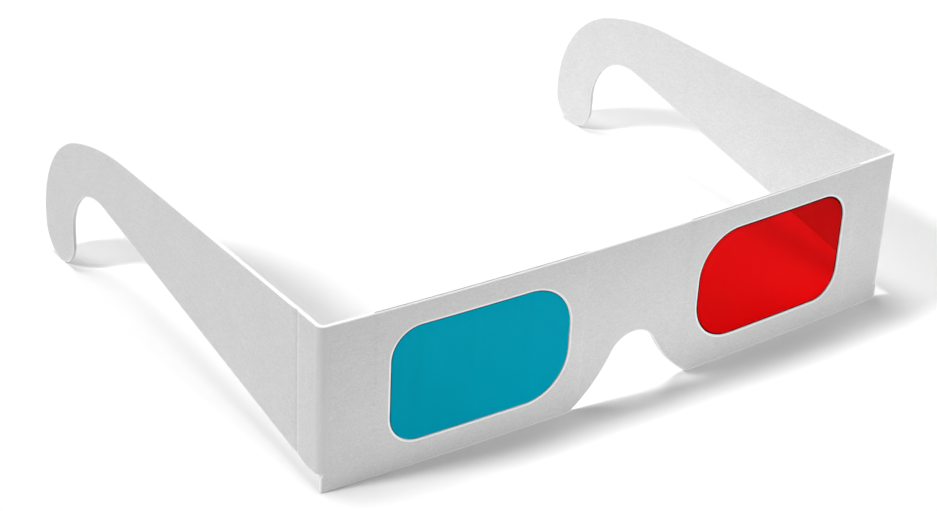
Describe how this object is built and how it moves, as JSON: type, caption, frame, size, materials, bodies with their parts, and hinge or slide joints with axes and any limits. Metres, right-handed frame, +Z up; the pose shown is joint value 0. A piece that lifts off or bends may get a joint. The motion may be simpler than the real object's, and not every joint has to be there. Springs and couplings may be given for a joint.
{
  "type": "folding paperboard anaglyph glasses",
  "caption": "Folding paperboard viewing glasses: a bowed front with a nose notch, cyan and red films between glued plies, and hooked temples that fold on scored creases.",
  "frame": {"origin": "on the table, under the middle of the box of the opened glasses", "axes": "+X towards the wearer's left, across the face; +Y from the front towards the ears; +Z up"},
  "size_m": [0.146, 0.12, 0.0371],
  "materials": {
    "board": "uncoated white paperboard",
    "glue": "dried paper glue",
    "cyan_film": "clear cyan gel film",
    "red_film": "clear red gel film"
  },
  "bodies": {
    "frame": {"front_ply": "board", "back_ply": "board", "front_glue": "glue", "cyan_film": "cyan_film", "red_film": "red_film", "left_crease_outer_ply": "board", "left_crease_glue": "glue", "left_crease_inner_ply": "board", "right_crease_outer_ply": "board", "right_crease_glue": "glue", "right_crease_inner_ply": "board"},
    "left_temple": {"left_temple_outer_ply": "board", "left_temple_glue": "glue", "left_temple_inner_ply": "board"},
    "right_temple": {"right_temple_outer_ply": "board", "right_temple_glue": "glue", "right_temple_inner_ply": "board"}
  },
  "joints": [
    {"name": "left_temple_fold", "type": "hinge", "parent": "frame", "child": "left_temple", "pos_m": [0.0714, -0.05606, 0.01805], "axis": [0, -0.0142, 0.9999], "range_deg": [-86, 90], "deforming": ["left_crease_outer_ply", "left_crease_glue", "left_crease_inner_ply"]},
    {"name": "right_temple_fold", "type": "hinge", "parent": "frame", "child": "right_temple", "pos_m": [-0.0714, -0.05606, 0.01805], "axis": [0, 0.0142, -0.9999], "range_deg": [-86, 85], "deforming": ["right_crease_outer_ply", "right_crease_glue", "right_crease_inner_ply"]}
  ]
}
